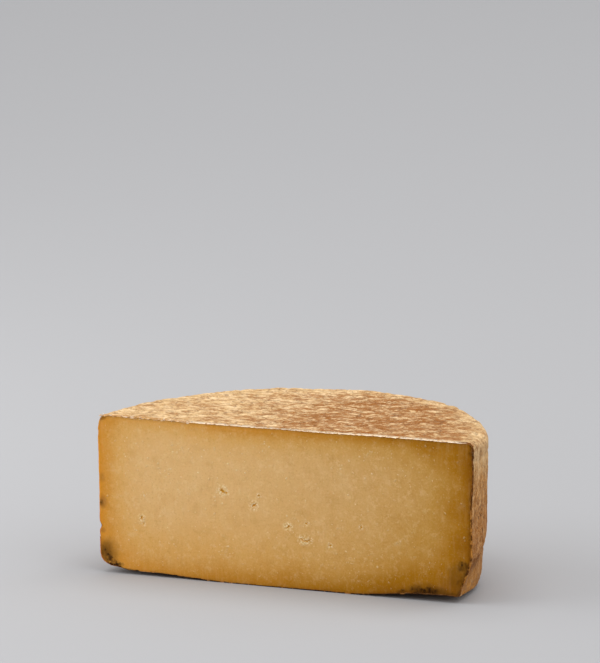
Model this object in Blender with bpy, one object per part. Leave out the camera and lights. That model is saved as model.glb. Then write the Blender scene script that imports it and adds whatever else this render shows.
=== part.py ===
"""Half a wheel of clothbound cheddar, resting on its base with the cut face to the front.

Metres, +Z up. The half lies behind the plane of the cut, and the wheel's axis stands upright
in the middle of that plane. The origin is under the middle of the half, on its base.
Angles go round the axis from the right end of the cut (0) past the back to the left end (pi).
"""

import math

import bmesh
import bpy
from mathutils import Vector, noise

MM = 0.001

# The wheel as it came from the hoop
WHEEL_RADIUS = 186 * MM
WHEEL_HEIGHT = 147 * MM
TOP_SHOULDER = 6 * MM
BASE_SHOULDER = 15 * MM
AXIS = Vector((0.0, -WHEEL_RADIUS / 2, 0.0))

# The base lies on its shelf, and curls off it towards both ends of the cut
FOOT_HALF_WIDTH = 58 * MM
LIFT_END = 148 * MM
LIFT_LEFT = 4.2 * MM
LIFT_RIGHT = 6 * MM
LIFT_RUNS_BACK = 95 * MM

# The side draws in below, most of all at the right end of the cut and not at all at the left
WAIST_DRAW = 0.9 * MM
WAIST_DRAW_AT_END = 1.6 * MM
WAIST_TOP = 120 * MM
WAIST_BASE = 78 * MM
FOOT_DRAW = 5.8 * MM
FOOT_DRAW_AT_END = 3.2 * MM
FOOT_TOP = 68 * MM
FOOT_TOP_AT_END = 58 * MM
FOOT_BASE = 12 * MM
END_REACH = math.radians(27)
DRAW_FADES_FROM = math.radians(40)

# The base's corner is fuller at the right end, so that it is nearly square there
CORNER_FILL = 6 * MM
CORNER_FILL_FULL_TO = math.radians(30)
CORNER_FILL_ENDS = math.radians(62)

# Above the left end of the cut the side draws in at the top
TOP_DRAW = 2.2 * MM
TOP_DRAW_DEPTH = 18 * MM
TOP_DRAW_FROM = math.radians(120)

# Near the right end the top slumps where it meets the side
SLUMP = 5.5 * MM
SLUMP_WIDTH = 26 * MM
SLUMP_DEPTH = 35 * MM
SLUMP_ANGLES = [math.radians(degrees) for degrees in (2, 16, 40, 55)]

# Cloth: a cap on each end, folded down over the side and pleated where it turns the corner
CAP_EDGE_BELOW_TOP = 18 * MM
HEM_HEIGHT = 33 * MM
CLOTH_STEP = 0.6 * MM
CLOTH_STEP_WIDTH = 1.4 * MM
HEM_DRIFT = 3 * MM
HEM_DRIFT_REACH = 14 * MM
FOLDS = 13
FOLD_DEPTH = 1.7 * MM
FOLD_STEP = 0.12
FOLD_WANDER = 0.35
SMOOTH_END_FROM = math.radians(12)
SMOOTH_END_TO = math.radians(45)

# Unevenness of the whole rind
SWELL = 0.8 * MM
SWELL_WAVE = 70 * MM
TOP_DIP = 0.9 * MM
TOP_DIP_WAVE = 60 * MM

# Mesh steps
SPIN_STEPS = 104
BASE_RINGS = 9
SHOULDER_STEPS = 4
SIDE_RING_GAP = 5.6 * MM
TOP_RINGS = 11
WELD = 0.01 * MM
SHADE_ANGLE = math.radians(40)

# Openings in the cut face: place along the cut and above the base, length, width, slant, depth
OPENINGS = (
    ("crack_upper_left", -60.7 * MM, 86.1 * MM, 6.0 * MM, 2.4 * MM, -38, 3.5 * MM),
    ("pit_centre", -24.4 * MM, 84.7 * MM, 2.8 * MM, 2.4 * MM, 0, 2.5 * MM),
    ("crack_centre", -29.6 * MM, 75.0 * MM, 5.5 * MM, 2.2 * MM, 36, 3.5 * MM),
    ("pit_left", -143.0 * MM, 54.4 * MM, 4.0 * MM, 2.4 * MM, 80, 3.0 * MM),
    ("pit_left_low", -140.8 * MM, 49.4 * MM, 2.6 * MM, 1.8 * MM, 60, 2.0 * MM),
    ("crack_short", 4.3 * MM, 57.7 * MM, 4.2 * MM, 1.8 * MM, 50, 2.5 * MM),
    ("pit_middle", 22.2 * MM, 62.1 * MM, 2.6 * MM, 2.0 * MM, 0, 2.0 * MM),
    ("smile_left", 20.6 * MM, 46.7 * MM, 6.4 * MM, 1.5 * MM, -24, 2.5 * MM),
    ("smile_right", 28.0 * MM, 46.5 * MM, 6.4 * MM, 1.5 * MM, 26, 2.5 * MM),
    ("pit_right", 45.5 * MM, 43.3 * MM, 2.6 * MM, 2.0 * MM, 30, 2.0 * MM),
)

# A nick in the rind at the left end of the cut
NICK_HEIGHT = 41.8 * MM
NICK_TALL = 4.0 * MM
NICK_DEPTH = 2.0 * MM
NICK_RUN = 7.0 * MM

RIND_COLOUR = (0.42, 0.22, 0.09, 1.0)
PASTE_COLOUR = (0.57, 0.33, 0.13, 1.0)
RIND_ROUGHNESS = 0.85
PASTE_ROUGHNESS = 0.55


def smooth(value, start, end):
    """0 before start, 1 after end and a smooth rise between, whichever of the two is larger."""
    t = min(max((value - start) / (end - start), 0.0), 1.0)
    return t * t * (3 - 2 * t)


def quarter_arc(centre_radius, centre_height, size, first_angle):
    """Points of a quarter circle in the section, both ends included."""
    points = []
    for step in range(SHOULDER_STEPS + 1):
        turn = first_angle + math.pi / 2 * step / SHOULDER_STEPS
        points.append((centre_radius + size * math.cos(turn), centre_height + size * math.sin(turn)))
    return points


def side_heights():
    """Heights of the rings up the side, with a close pair at each edge of the cloth."""
    cap_edge = WHEEL_HEIGHT - CAP_EDGE_BELOW_TOP
    stretches = (
        (BASE_SHOULDER, HEM_HEIGHT),
        (HEM_HEIGHT + CLOTH_STEP_WIDTH, cap_edge - CLOTH_STEP_WIDTH),
        (cap_edge, WHEEL_HEIGHT - TOP_SHOULDER),
    )
    heights = []
    for low, high in stretches:
        count = max(round((high - low) / SIDE_RING_GAP), 2)
        heights += [low + (high - low) * step / count for step in range(count + 1)]
    return heights[1:-1]


def wheel_outline():
    """The wheel's section: from the axis out along the base, up the side and back along the top."""
    base_edge = WHEEL_RADIUS - BASE_SHOULDER
    top_edge = WHEEL_RADIUS - TOP_SHOULDER
    points = [(base_edge * ring / BASE_RINGS, 0.0) for ring in range(BASE_RINGS)]
    points += quarter_arc(base_edge, BASE_SHOULDER, BASE_SHOULDER, -math.pi / 2)
    points += [(WHEEL_RADIUS, height) for height in side_heights()]
    points += quarter_arc(top_edge, WHEEL_HEIGHT - TOP_SHOULDER, TOP_SHOULDER, 0.0)
    points += [(top_edge * (1 - ring / TOP_RINGS), WHEEL_HEIGHT) for ring in range(1, TOP_RINGS + 1)]
    return points


def base_lift(x, y):
    """How far the base is off the shelf at a place."""
    lift = LIFT_RIGHT if x > 0 else LIFT_LEFT
    lift *= smooth(abs(x), FOOT_HALF_WIDTH, LIFT_END)
    return lift * smooth(y - AXIS.y, LIFT_RUNS_BACK, 0.0)


def draw_in(angle, height):
    """How far the side is drawn in from the plain cylinder."""
    end = smooth(angle, END_REACH, 0.0)
    waist = WAIST_DRAW + WAIST_DRAW_AT_END * end
    waist *= smooth(height, WAIST_TOP, WAIST_BASE)
    foot = FOOT_DRAW + FOOT_DRAW_AT_END * end
    foot *= smooth(height, FOOT_TOP + (FOOT_TOP_AT_END - FOOT_TOP) * end, FOOT_BASE)
    top = TOP_DRAW * smooth(height, WHEEL_HEIGHT - TOP_DRAW_DEPTH, WHEEL_HEIGHT)
    top *= smooth(angle, TOP_DRAW_FROM, math.pi)
    return (waist + foot) * smooth(angle, math.pi, DRAW_FADES_FROM) + top


def corner_fill(radius, angle, height):
    """How much further out the base's corner reaches at the right end."""
    down = max(1 - height / BASE_SHOULDER, 0.0)
    out = smooth(radius, WHEEL_RADIUS - 2 * BASE_SHOULDER, WHEEL_RADIUS - BASE_SHOULDER)
    return CORNER_FILL * down ** 2 * out * smooth(angle, CORNER_FILL_ENDS, CORNER_FILL_FULL_TO)


def slump(radius, angle, height):
    """How far the top has sunk near its rim."""
    first, full, ebbs, last = SLUMP_ANGLES
    along = smooth(angle, first, full) * smooth(angle, last, ebbs)
    inward = min(max((WHEEL_RADIUS - radius) / SLUMP_WIDTH, 0.0), 1.0)
    below = smooth(height, WHEEL_HEIGHT - SLUMP_DEPTH, WHEEL_HEIGHT)
    return SLUMP * along * (1 - inward) ** 2 * below


def fold(angle):
    """Height of the folds in the gathered cloth: each rises slowly and drops at its edge."""
    phase = FOLDS * angle / math.pi + FOLD_WANDER * noise.noise(Vector((4 * angle, 1.0, 0.0)))
    place = phase % 1.0
    size = 0.55 + 0.45 * noise.noise(Vector((7.7 * math.floor(phase), 0.5, 0.0)))
    return size * smooth(place, 0.0, 1 - FOLD_STEP) * smooth(place, 1.0, 1 - FOLD_STEP)


def cloth_relief(angle, height):
    """How far the caps of cloth and their folds stand out from the bandage under them."""
    cap = WHEEL_HEIGHT - CAP_EDGE_BELOW_TOP
    on_hem = smooth(height, HEM_HEIGHT + CLOTH_STEP_WIDTH, HEM_HEIGHT)
    on_cap = smooth(height, cap - CLOTH_STEP_WIDTH, cap)
    folds = FOLD_DEPTH * fold(angle) * on_hem * smooth(height, 0.0, BASE_SHOULDER)
    loose = smooth(min(angle, math.pi - angle), SMOOTH_END_FROM, SMOOTH_END_TO)
    return (CLOTH_STEP * (on_hem + on_cap - 1) + folds) * loose


def hem_drift(angle, height):
    """How far the cloth's lower edge wanders up or down on its way round."""
    near = smooth(abs(height - HEM_HEIGHT), HEM_DRIFT_REACH, CLOTH_STEP_WIDTH)
    return HEM_DRIFT * near * math.sin(5 * angle + 0.6)


def swell(point, amount, wave):
    """A gentle rise and fall of the rind, the same at one place each time."""
    return amount * noise.noise(point / wave + Vector((7.3, 2.1, 5.9)))


def nick(angle, height):
    """Depth of the nick where the knife tore the rind at the left end of the cut."""
    along = smooth((math.pi - angle) * WHEEL_RADIUS, NICK_RUN, 0.0)
    across = smooth(abs(height - NICK_HEIGHT), NICK_TALL, 0.0)
    return NICK_DEPTH * along * across


def settled(plain):
    """Where a point of the plain turned wheel lies on the real one."""
    arm = plain - AXIS
    radius = math.hypot(arm.x, arm.y)
    angle = math.atan2(max(arm.y, 0.0), arm.x)
    height = plain.z
    outward = smooth(radius, WHEEL_RADIUS - 2 * BASE_SHOULDER, WHEEL_RADIUS)
    change = cloth_relief(angle, height) + swell(arm, SWELL, SWELL_WAVE)
    change -= draw_in(angle, height) + nick(angle, height)
    new_radius = radius + change * outward + corner_fill(radius, angle, height)
    x = AXIS.x + new_radius * math.cos(angle)
    y = AXIS.y + new_radius * math.sin(angle)
    rise = base_lift(x, y) * (1 - height / WHEEL_HEIGHT) - slump(radius, angle, height)
    rise += swell(arm, TOP_DIP, TOP_DIP_WAVE) * smooth(height, WHEEL_HEIGHT / 2, WHEEL_HEIGHT)
    rise += hem_drift(angle, height) * outward
    return Vector((x, y, height + rise))


def fill_cut(mesh):
    """Close the open side with one flat face, all its corners exactly in the plane of the cut."""
    rim = [edge for edge in mesh.edges if edge.is_boundary]
    for edge in rim:
        for corner in edge.verts:
            corner.co.y = AXIS.y
    made = bmesh.ops.edgeloop_fill(mesh, edges=rim)
    for face in made["faces"]:
        face.material_index = 1


def build_half_wheel():
    """Turn the section half way round the axis, settle it and close it at the cut."""
    mesh = bmesh.new()
    corners = [mesh.verts.new((AXIS.x + radius, AXIS.y, height)) for radius, height in wheel_outline()]
    edges = [mesh.edges.new(pair) for pair in zip(corners, corners[1:])]
    turned = corners + edges
    bmesh.ops.spin(mesh, geom=turned, cent=AXIS, axis=(0, 0, 1), angle=math.pi, steps=SPIN_STEPS)
    bmesh.ops.remove_doubles(mesh, verts=mesh.verts, dist=WELD)
    for corner in mesh.verts:
        corner.co = settled(corner.co)
    fill_cut(mesh)
    bmesh.ops.recalc_face_normals(mesh, faces=mesh.faces)
    return mesh


def plain_material(name, colour, roughness):
    """A dull, solid finish."""
    material = bpy.data.materials.new(name)
    material.use_nodes = True
    shader = material.node_tree.nodes["Principled BSDF"]
    shader.inputs["Base Color"].default_value = colour
    shader.inputs["Roughness"].default_value = roughness
    shader.inputs["Metallic"].default_value = 0.0
    return material


def opening_cutter(name, x, height, length, width, slant, depth):
    """A flattened seed shape, half sunk in the cut face, that takes out one crack or pit."""
    bpy.ops.mesh.primitive_ico_sphere_add(subdivisions=2, radius=1.0)
    cutter = bpy.context.object
    cutter.name = name
    cutter.scale = (length / 2, depth, width / 2)
    cutter.rotation_euler = (0.0, -math.radians(slant), 0.0)
    cutter.location = (AXIS.x + x, AXIS.y, height)
    cutter.hide_render = True
    cutter.display_type = "WIRE"
    return cutter


def cut_openings(cheese):
    """Take the cracks and pits out of the cut face."""
    cutters = bpy.data.collections.new("openings")
    bpy.context.scene.collection.children.link(cutters)
    for opening in OPENINGS:
        cutter = opening_cutter(*opening)
        for holder in list(cutter.users_collection):
            holder.objects.unlink(cutter)
        cutters.objects.link(cutter)
    cut = cheese.modifiers.new("openings", "BOOLEAN")
    cut.operation = "DIFFERENCE"
    cut.operand_type = "COLLECTION"
    cut.collection = cutters
    cut.solver = "EXACT"


def main():
    for item in list(bpy.data.objects):
        bpy.data.objects.remove(item, do_unlink=True)

    data = bpy.data.meshes.new("half_wheel")
    data.materials.append(plain_material("rind", RIND_COLOUR, RIND_ROUGHNESS))
    data.materials.append(plain_material("paste", PASTE_COLOUR, PASTE_ROUGHNESS))
    mesh = build_half_wheel()
    mesh.to_mesh(data)
    mesh.free()
    data.shade_smooth()
    data.set_sharp_from_angle(angle=SHADE_ANGLE)

    cheese = bpy.data.objects.new("half_wheel", data)
    bpy.context.scene.collection.objects.link(cheese)
    cut_openings(cheese)


main()
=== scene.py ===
import math
import random

import bmesh
import bpy
from bpy.props import FloatProperty, FloatVectorProperty, IntProperty, PointerProperty
from mathutils import Matrix, Vector, noise


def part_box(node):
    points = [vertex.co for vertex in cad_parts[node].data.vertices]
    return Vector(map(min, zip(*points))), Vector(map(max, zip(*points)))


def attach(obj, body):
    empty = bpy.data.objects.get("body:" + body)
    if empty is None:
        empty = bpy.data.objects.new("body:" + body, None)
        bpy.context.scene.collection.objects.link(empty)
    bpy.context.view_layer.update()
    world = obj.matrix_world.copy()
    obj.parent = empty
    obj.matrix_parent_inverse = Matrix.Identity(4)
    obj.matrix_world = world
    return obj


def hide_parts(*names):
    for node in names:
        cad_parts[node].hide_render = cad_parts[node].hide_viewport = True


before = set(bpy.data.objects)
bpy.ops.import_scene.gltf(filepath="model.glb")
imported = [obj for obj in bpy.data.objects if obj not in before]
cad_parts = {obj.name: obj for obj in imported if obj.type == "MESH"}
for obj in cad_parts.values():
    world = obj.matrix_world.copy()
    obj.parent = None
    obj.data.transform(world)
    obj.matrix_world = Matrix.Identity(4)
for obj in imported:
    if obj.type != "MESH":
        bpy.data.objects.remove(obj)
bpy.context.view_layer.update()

bl_info = {
    "name": "Clothbound Cheddar Half Wheel",
    "version": (1, 0, 0),
    "blender": (4, 5, 0),
    "location": "3D View > Sidebar > Cheddar",
    "description": "Models the paste, cloth, crystals and crumbs of a halved clothbound cheddar",
    "category": "Object",
}

# -------------------- Sizes --------------------
# In metres. The wheel's axis stands in the plane of the cut. Angles go round it from the right
# end of the cut (0) past the back to the left end (pi).

MM = 0.001
NODE = "half_wheel"
BODY = "root"
CUT_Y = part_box(NODE)[0][1]
WHEEL_RADIUS = -2 * CUT_Y
NEAR_CUT = CUT_Y + MM / 10
WHEEL_HEIGHT = 147 * MM
TOP_SHOULDER = 6 * MM
BASE_SHOULDER = 15 * MM
AXIS = Vector((0.0, CUT_Y, 0.0))

# The base lies on its shelf, and curls off it towards both ends of the cut
FOOT_HALF_WIDTH = 58 * MM
LIFT_END = 148 * MM
LIFT_LEFT = 3.6 * MM
LIFT_RIGHT = 6 * MM
LIFT_RUNS_BACK = 95 * MM

# The side draws in below, most of all at the right end of the cut and not at all at the left
WAIST_DRAW = 0.9 * MM
WAIST_DRAW_AT_END = 1.6 * MM
WAIST_TOP = 120 * MM
WAIST_BASE = 78 * MM
FOOT_DRAW = 5.8 * MM
FOOT_DRAW_AT_END = 3.2 * MM
FOOT_TOP = 68 * MM
FOOT_TOP_AT_END = 38 * MM
FOOT_BASE = 12 * MM
FOOT_BASE_AT_END = 6 * MM
END_REACH = math.radians(27)
DRAW_FADES_FROM = math.radians(40)
CORNER_FILL = 4.2 * MM
CORNER_FILL_FULL_TO = math.radians(30)
CORNER_FILL_ENDS = math.radians(62)

# At the left end of the cut the base's corner is rounder
CORNER_RISE = 2.7 * MM
CORNER_RISE_WIDTH = 30 * MM
CORNER_RISE_FROM = math.radians(150)
CORNER_RISE_FULL = math.radians(176)

# Above the left end of the cut the side draws in at the top
TOP_DRAW = 2.2 * MM
TOP_DRAW_DEPTH = 18 * MM
TOP_DRAW_FROM = math.radians(120)

# Near the right end the top slumps where it meets the side
SLUMP = 5.5 * MM
SLUMP_WIDTH = 26 * MM
SLUMP_DEPTH = 35 * MM
SLUMP_ANGLES = [math.radians(degrees) for degrees in (2, 16, 40, 55)]

# Unevenness of the whole rind
SWELL = 0.8 * MM
SWELL_WAVE = 70 * MM
TOP_DIP = 0.9 * MM
TOP_DIP_WAVE = 60 * MM
CLOTH_ON_TOP = 1.1 * MM

# Cloth: a cap on each end, folded down over the side and gathered where it turns the corner
CLOTH_STEP = 0.6 * MM
CLOTH_THICKNESS = 1.2 * MM
CAP_EDGE = WHEEL_HEIGHT - 18 * MM
HEM_HEIGHT = 33 * MM
HEM_DRIFT = 3 * MM
HEM_DRIFT_REACH = 14 * MM
FOLDS = 13
FOLD_DEPTH = 1.7 * MM
TOP_FOLD_DEPTH = 0.68 * MM
TOP_FOLD_SHIFT = 0.12
FOLD_STEP = 0.12
FOLD_WANDER = 0.35
SMOOTH_END_FROM = math.radians(12)
SMOOTH_END_TO = math.radians(45)
BANDAGE_TUCK = 5 * MM
BANDAGE_BLEND = 4 * MM

# Paste
PASTE_INSET = 0.9 * MM
PASTE_TOP_INSET = 0.7 * MM
PASTE_HIDDEN_INSET = 1.8 * MM
NICK_HEIGHT = 41.8 * MM
NICK_TALL = 4.0 * MM
NICK_DEPTH = 2.0 * MM
NICK_RUN = 7.0 * MM

# Openings in the cut face, in mm: place along the cut and above the base, length, width, slant
# in degrees, depth
OPENINGS = [
    (x * MM, z * MM, length * MM, width * MM, math.radians(slant), depth * MM)
    for x, z, length, width, slant, depth in (
        (-60.7, 86.1, 5.2, 3.2, -38, 0.8),
        (-57.0, 84.6, 3.0, 1.8, -20, 0.6),
        (-24.4, 84.7, 2.4, 2.0, 0, 0.6),
        (-29.6, 75.0, 4.6, 2.2, 36, 0.8),
        (-143.0, 54.4, 3.6, 2.2, 80, 0.7),
        (-140.8, 49.4, 2.2, 1.6, 60, 0.5),
        (4.3, 57.7, 4.0, 1.6, 50, 0.6),
        (22.2, 62.1, 2.2, 1.8, 0, 0.5),
        (18.0, 46.8, 4.2, 1.3, -30, 0.6),
        (21.5, 45.7, 3.4, 1.3, 0, 0.6),
        (24.6, 46.8, 3.6, 1.3, 34, 0.6),
        (45.5, 43.3, 2.2, 1.8, 30, 0.5),
        (76.0, 63.0, 2.4, 1.6, -30, 0.4),
    )
]

# Camera, at the height and distance of a long lens
CAMERA_AZIMUTH = 23.783
CAMERA_ELEVATION = 11.05
CAMERA_ROLL = -0.954
CAMERA_DISTANCE = 4.4938
CAMERA_SIDE = 0.01745
CAMERA_LOOKS_AT_HEIGHT = 0.23764
CAMERA_LENS = 271.0
CAMERA_SENSOR = 36.0


def srgb(red, green, blue):
    """A colour given in 0 to 255 display values, as the linear colour that shaders take."""
    def linear(value):
        value /= 255
        return value / 12.92 if value <= 0.04045 else ((value + 0.055) / 1.055) ** 2.4
    return (linear(red), linear(green), linear(blue), 1.0)


def ripple(place, wave, shift=0.0):
    """A noise between about -1 and 1, its waves this many millimetres long."""
    return noise.noise(place / (wave * MM) + Vector((shift, 0.0, 0.0)))


def smooth(value, start, end):
    """0 before start, 1 after end and a smooth rise between, whichever of the two is larger."""
    t = min(max((value - start) / (end - start), 0.0), 1.0)
    return t * t * (3 - 2 * t)


# -------------------- The form of the wheel --------------------

def base_lift(x, y):
    """How far the base is off the shelf at a place."""
    lift = LIFT_RIGHT if x > 0 else LIFT_LEFT
    lift *= smooth(abs(x), FOOT_HALF_WIDTH, LIFT_END)
    return lift * smooth(y - AXIS.y, LIFT_RUNS_BACK, 0.0)


def draw_in(angle, height):
    """How far the side is drawn in from the plain cylinder."""
    end = smooth(angle, END_REACH, 0.0)
    waist = WAIST_DRAW + WAIST_DRAW_AT_END * end
    waist *= smooth(height, WAIST_TOP, WAIST_BASE)
    foot = FOOT_DRAW + FOOT_DRAW_AT_END * end
    foot_top = FOOT_TOP + (FOOT_TOP_AT_END - FOOT_TOP) * end
    foot *= smooth(height, foot_top, FOOT_BASE + (FOOT_BASE_AT_END - FOOT_BASE) * end)
    top = TOP_DRAW * smooth(height, WHEEL_HEIGHT - TOP_DRAW_DEPTH, WHEEL_HEIGHT)
    top *= smooth(angle, TOP_DRAW_FROM, math.pi)
    return (waist + foot) * smooth(angle, math.pi, DRAW_FADES_FROM) + top


def corner_fill(radius, angle, height):
    """How much further out the base's corner reaches at the right end."""
    down = max(1 - height / BASE_SHOULDER, 0.0)
    out = smooth(radius, WHEEL_RADIUS - 2 * BASE_SHOULDER, WHEEL_RADIUS - BASE_SHOULDER)
    return CORNER_FILL * down ** 3 * out * smooth(angle, CORNER_FILL_ENDS, CORNER_FILL_FULL_TO)


def corner_rise(radius, angle, height):
    """How much further up the base's corner starts at the left end."""
    down = max(1 - height / BASE_SHOULDER, 0.0)
    out = smooth(radius, WHEEL_RADIUS - CORNER_RISE_WIDTH, WHEEL_RADIUS - BASE_SHOULDER)
    return CORNER_RISE * down * out * smooth(angle, CORNER_RISE_FROM, CORNER_RISE_FULL)


def slump(radius, angle, height):
    """How far the top has sunk near its rim."""
    first, full, ebbs, last = SLUMP_ANGLES
    along = smooth(angle, first, full) * smooth(angle, last, ebbs)
    inward = min(max((WHEEL_RADIUS - radius) / SLUMP_WIDTH, 0.0), 1.0)
    below = smooth(height, WHEEL_HEIGHT - SLUMP_DEPTH, WHEEL_HEIGHT)
    return SLUMP * along * (1 - inward) ** 2 * below


def fold_place(angle):
    """Which fold of the gathered cloth an angle is in, and how far along that fold it is."""
    phase = FOLDS * angle / math.pi + FOLD_WANDER * noise.noise(Vector((4 * angle, 1.0, 0.0)))
    return math.floor(phase), phase % 1.0


def fold(angle):
    """Height of the folds in the gathered cloth: each rises slowly and drops at its edge."""
    number, along = fold_place(angle)
    size = 0.55 + 0.45 * noise.noise(Vector((7.7 * number, 0.5, 0.0)))
    return size * smooth(along, 0.0, 1 - FOLD_STEP) * smooth(along, 1.0, 1 - FOLD_STEP)


def loose(angle):
    """1 where the cloth hangs loose, 0 where it is stuck down towards the cut."""
    return smooth(min(angle, math.pi - angle), SMOOTH_END_FROM, SMOOTH_END_TO)


def hem_drift(angle, height):
    """How far the cloth's lower edge wanders up or down on its way round."""
    near = smooth(abs(height - HEM_HEIGHT), HEM_DRIFT_REACH, 1.4 * MM)
    return HEM_DRIFT * near * math.sin(5 * angle + 0.6)


def swell(point, amount, wave):
    """A gentle rise and fall of the rind, the same at one place each time."""
    return amount * noise.noise(point / wave + Vector((7.3, 2.1, 5.9)))


def nick(angle, height):
    """Depth of the nick where the knife tore the rind at the left end of the cut."""
    along = smooth((math.pi - angle) * WHEEL_RADIUS, NICK_RUN, 0.0)
    across = smooth(abs(height - NICK_HEIGHT), NICK_TALL, 0.0)
    return NICK_DEPTH * along * across


def wheel_place(point):
    """Distance from the axis, angle round it and height of a point."""
    arm = point - AXIS
    return math.hypot(arm.x, arm.y), math.atan2(max(arm.y, 0.0), arm.x), point.z


def settled(plain, extra_out=0.0, extra_up=0.0):
    """Where a point of the plain turned wheel lies on the real one, with a little added relief."""
    radius, angle, height = wheel_place(plain)
    arm = plain - AXIS
    outward = smooth(radius, WHEEL_RADIUS - 2 * BASE_SHOULDER, WHEEL_RADIUS)
    change = swell(arm, SWELL, SWELL_WAVE) - draw_in(angle, height) - nick(angle, height)
    new_radius = radius + (change + extra_out) * outward + corner_fill(radius, angle, height)
    x = AXIS.x + new_radius * math.cos(angle)
    y = AXIS.y + new_radius * math.sin(angle)
    rise = base_lift(x, y) * (1 - height / WHEEL_HEIGHT) - slump(radius, angle, height)
    rise += swell(arm, TOP_DIP, TOP_DIP_WAVE) * smooth(height, WHEEL_HEIGHT / 2, WHEEL_HEIGHT)
    rise += hem_drift(angle, height) * outward + CLOTH_ON_TOP * height / WHEEL_HEIGHT
    rise += corner_rise(radius, angle, height)
    return Vector((x, y, height + rise + extra_up))


# -------------------- Modelling by hand --------------------
# One piece in edit mode, its corners, edges or faces picked by their place.

def pick(piece, kind, test):
    """In edit mode, select only the corners, edges or faces that pass a test."""
    bpy.ops.mesh.select_mode(type=kind)
    bpy.ops.mesh.select_all(action="DESELECT")
    mesh = bmesh.from_edit_mesh(piece.data)
    for item in {"VERT": mesh.verts, "EDGE": mesh.edges, "FACE": mesh.faces}[kind]:
        if test(item):
            item.select_set(True)
    bmesh.update_edit_mesh(piece.data)


def run_between(edge, axis, place):
    """True if both ends of an edge lie at a place along an axis."""
    return all(abs(corner.co[axis] - place) < 1e-6 for corner in edge.verts)


def divide(piece, test, counts):
    """Divide the picked edges into equal runs, and those again for a second count."""
    pick(piece, "EDGE", test)
    for count in counts:
        if count > 1:
            bpy.ops.mesh.subdivide(number_cuts=count - 1)


def apply_modifier(piece, kind, **settings):
    """Add a modifier with these settings and apply it."""
    modifier = piece.modifiers.new(kind.title(), kind)
    for name, value in settings.items():
        setattr(modifier, name, value)
    bpy.context.view_layer.objects.active = piece
    bpy.ops.object.modifier_apply(modifier=modifier.name)


def start_piece(name):
    """A plane a metre across at the origin, in edit mode, ready to be shaped."""
    bpy.ops.object.select_all(action="DESELECT")
    bpy.ops.mesh.primitive_plane_add(size=1.0, location=(0, 0, 0))
    piece = bpy.context.object
    piece.name = name
    piece.data.name = name
    bpy.ops.object.mode_set(mode="EDIT")
    return piece


def add_section(name, inset, top_inset, runs):
    """The outline of half the wheel's section, upright in the plane of the cut.

    It goes from the axis out along the base, up the side and back along the top. The runs say how
    often to divide the base, the side and the top, then the corners of the base and the top."""
    base_runs, side_runs, top_runs, base_steps, top_steps = runs
    radius, low, high = WHEEL_RADIUS - inset, top_inset, WHEEL_HEIGHT - top_inset
    base_round, top_round = BASE_SHOULDER - inset, TOP_SHOULDER - inset
    piece = start_piece(name)
    bpy.ops.transform.rotate(value=math.pi / 2, orient_axis="X", center_override=(0, 0, 0))
    bpy.ops.transform.resize(value=(radius, 1, high - low), center_override=(0, 0, 0))
    bpy.ops.transform.translate(value=(radius / 2, CUT_Y, (low + high) / 2))
    pick(piece, "VERT", lambda v: v.co.x > radius / 2 and v.co.z < high / 2)
    bpy.ops.mesh.bevel(affect="VERTICES", offset=base_round, segments=base_steps)
    pick(piece, "VERT", lambda v: v.co.x > radius / 2 and v.co.z > high - MM / 2)
    bpy.ops.mesh.bevel(affect="VERTICES", offset=top_round, segments=top_steps)
    bpy.ops.mesh.select_all(action="SELECT")
    bpy.ops.mesh.delete(type="ONLY_FACE")
    pick(piece, "EDGE", lambda e: run_between(e, 0, 0.0))
    bpy.ops.mesh.delete(type="EDGE")
    divide(piece, lambda e: run_between(e, 2, low), base_runs)
    divide(piece, lambda e: run_between(e, 2, high), top_runs)
    divide(piece, lambda e: run_between(e, 0, radius), side_runs)
    return piece


def spin_half(steps):
    """Turn what is in edit mode half way round the wheel's axis, behind the cut."""
    bpy.ops.mesh.select_all(action="SELECT")
    bpy.ops.mesh.spin(steps=steps, angle=-math.pi, center=AXIS, axis=(0, 0, 1))
    bpy.ops.mesh.select_all(action="SELECT")
    bpy.ops.mesh.remove_doubles(threshold=0.01 * MM)
    bpy.ops.mesh.normals_make_consistent(inside=False)


def finish_piece(piece, smooth_angle=50):
    """Shade the piece, and make it ride with the cheese and stand for its solid."""
    bpy.ops.object.select_all(action="DESELECT")
    piece.select_set(True)
    bpy.context.view_layer.objects.active = piece
    bpy.ops.object.shade_smooth_by_angle(angle=math.radians(smooth_angle))
    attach(piece, BODY)
    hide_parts(NODE)


def add_object(name, data):
    """A new object in the scene, made outside edit mode."""
    made = bpy.data.objects.new(name, data)
    bpy.context.scene.collection.objects.link(made)
    return made


# -------------------- Materials --------------------

def give(socket, value):
    """Link an input to another node's output, or set its own value."""
    if isinstance(value, bpy.types.NodeSocket):
        socket.id_data.links.new(value, socket)
    else:
        socket.default_value = value


def fill_in(node, **values):
    """Give a node its inputs by name, with _ for each space in a name."""
    for label, value in values.items():
        give(node.inputs[label.replace("_", " ")], value)


def add_node(tree, kind, inputs=None, **settings):
    """A node with its settings, and a value or a link for each named or numbered input."""
    made = tree.nodes.new(kind)
    for name, value in settings.items():
        setattr(made, name, value)
    for name, value in (inputs or {}).items():
        give(made.inputs[name], value)
    return made


def add_maths(kind, operation, values):
    """A math node in the tree that its linked values come from."""
    tree = next(value.id_data for value in values if isinstance(value, bpy.types.NodeSocket))
    return add_node(tree, kind, dict(enumerate(values)), operation=operation).outputs


def maths(operation, *values):
    """The result of one operation on numbers."""
    return add_maths("ShaderNodeMath", operation, values)[0]


def vector_maths(operation, *values, output="Vector"):
    """The result of one operation on vectors."""
    return add_maths("ShaderNodeVectorMath", operation, values)[output]


def in_turn(operation, values):
    """One value from several, taken two at a time."""
    total = values[0]
    for value in values[1:]:
        total = maths(operation, total, value)
    return total


def sum_of(*values):
    """One value that adds up several."""
    return in_turn("ADD", values)


def product_of(*values):
    """One value that multiplies several."""
    return in_turn("MULTIPLY", values)


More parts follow.
